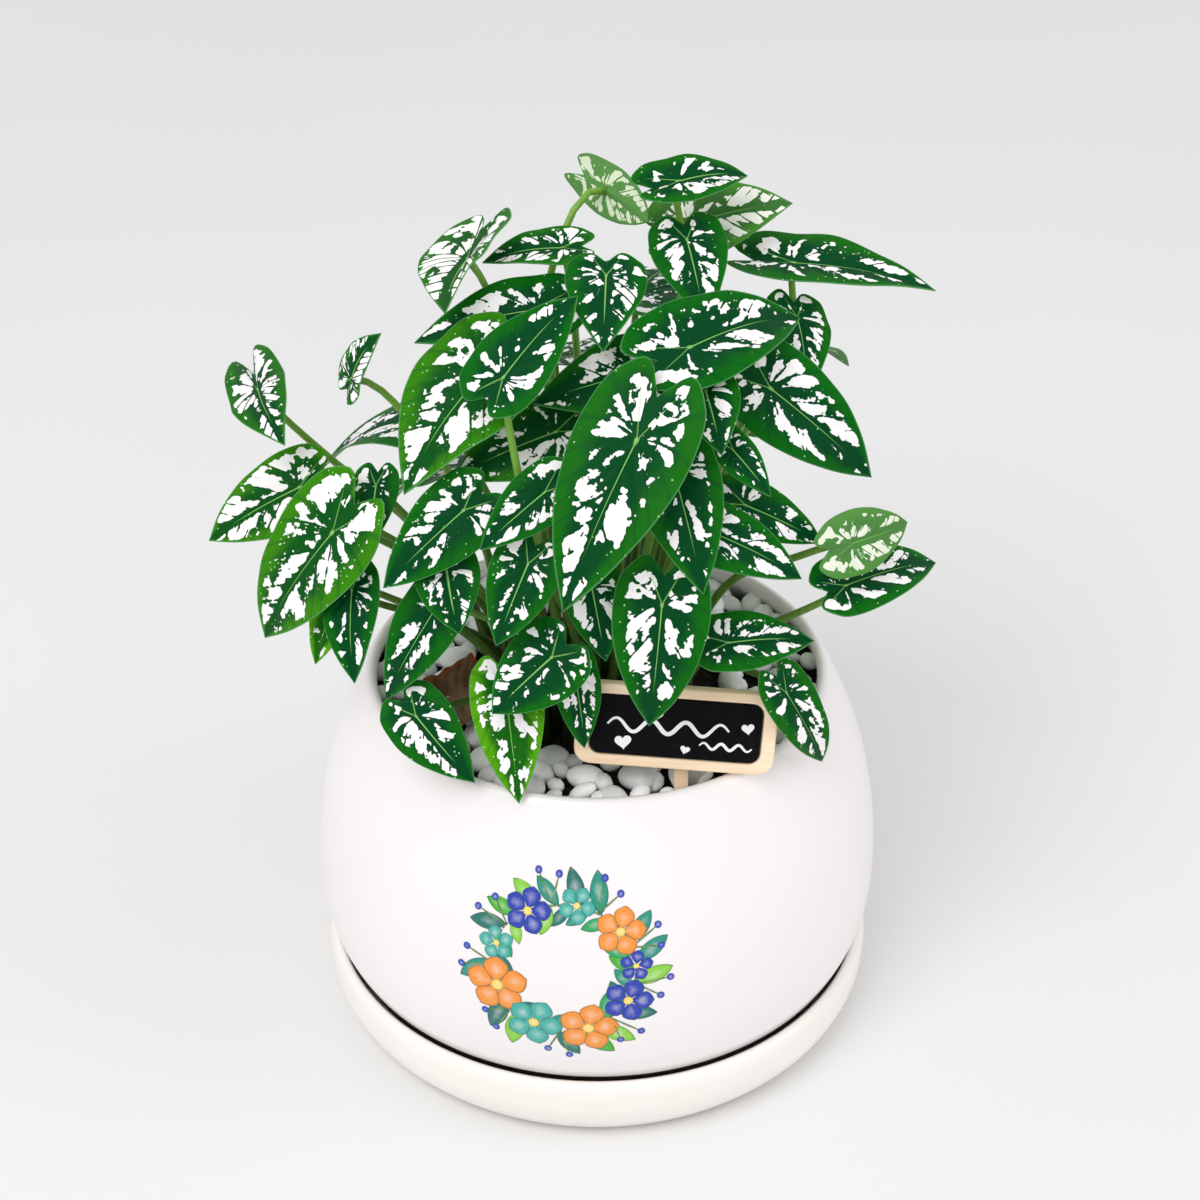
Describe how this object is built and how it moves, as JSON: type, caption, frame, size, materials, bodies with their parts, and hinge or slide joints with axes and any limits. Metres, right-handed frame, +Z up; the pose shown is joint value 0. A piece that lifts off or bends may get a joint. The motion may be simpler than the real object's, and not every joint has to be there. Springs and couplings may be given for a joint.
{
  "type": "potted plant",
  "caption": "Variegated dwarf caladium in a round-bellied glazed pot on a saucer, with pebbles and a small chalkboard sign.",
  "frame": {"origin": "centre of the saucer's flat underside, on the axis of the pot", "axes": "+Z up along the axis of the pot and saucer; -Y towards the front, where the small sign stands"},
  "size_m": [0.1836, 0.1645, 0.2421],
  "materials": {
    "white_glaze": "gloss",
    "potting_soil": "matte",
    "pebble_stone": "matte",
    "pale_wood": "matte",
    "chalkboard": "matte",
    "dry_leaf_brown": "matte",
    "leaf_green": "satin"
  },
  "bodies": {
    "root": {"pot": "white_glaze", "saucer": "white_glaze", "soil": "potting_soil", "pebbles": "pebble_stone", "sign_plate": "pale_wood", "sign_board": "chalkboard", "sign_stick": "pale_wood", "dry_leaf": "dry_leaf_brown", "leaf_front_1": "leaf_green", "leaf_front_2": "leaf_green", "leaf_front_3": "leaf_green", "leaf_front_4": "leaf_green", "leaf_right_1": "leaf_green", "leaf_right_2": "leaf_green", "leaf_right_3": "leaf_green", "leaf_right_4": "leaf_green", "leaf_right_5": "leaf_green", "leaf_right_6": "leaf_green", "leaf_top_1": "leaf_green", "leaf_top_2": "leaf_green", "leaf_top_3": "leaf_green", "leaf_top_4": "leaf_green", "leaf_top_5": "leaf_green", "leaf_left_1": "leaf_green", "leaf_left_2": "leaf_green", "leaf_left_3": "leaf_green", "leaf_left_4": "leaf_green", "leaf_left_5": "leaf_green", "leaf_left_6": "leaf_green", "leaf_left_7": "leaf_green", "leaf_mid_1": "leaf_green", "leaf_mid_2": "leaf_green", "leaf_mid_3": "leaf_green", "leaf_mid_4": "leaf_green", "leaf_mid_5": "leaf_green", "leaf_mid_6": "leaf_green", "leaf_mid_7": "leaf_green", "leaf_low_1": "leaf_green", "leaf_low_2": "leaf_green", "leaf_low_3": "leaf_green", "leaf_low_4": "leaf_green", "leaf_low_5": "leaf_green", "leaf_low_6": "leaf_green", "leaf_side_1": "leaf_green", "leaf_side_2": "leaf_green", "leaf_side_3": "leaf_green", "leaf_side_4": "leaf_green", "leaf_side_5": "leaf_green", "leaf_side_6": "leaf_green", "leaf_side_7": "leaf_green", "leaf_side_8": "leaf_green", "leaf_side_9": "leaf_green", "leaf_back_1": "leaf_green", "leaf_back_2": "leaf_green", "leaf_back_3": "leaf_green", "leaf_back_4": "leaf_green", "leaf_back_5": "leaf_green", "leaf_back_6": "leaf_green", "leaf_back_7": "leaf_green", "leaf_back_8": "leaf_green"}
  },
  "joints": []
}
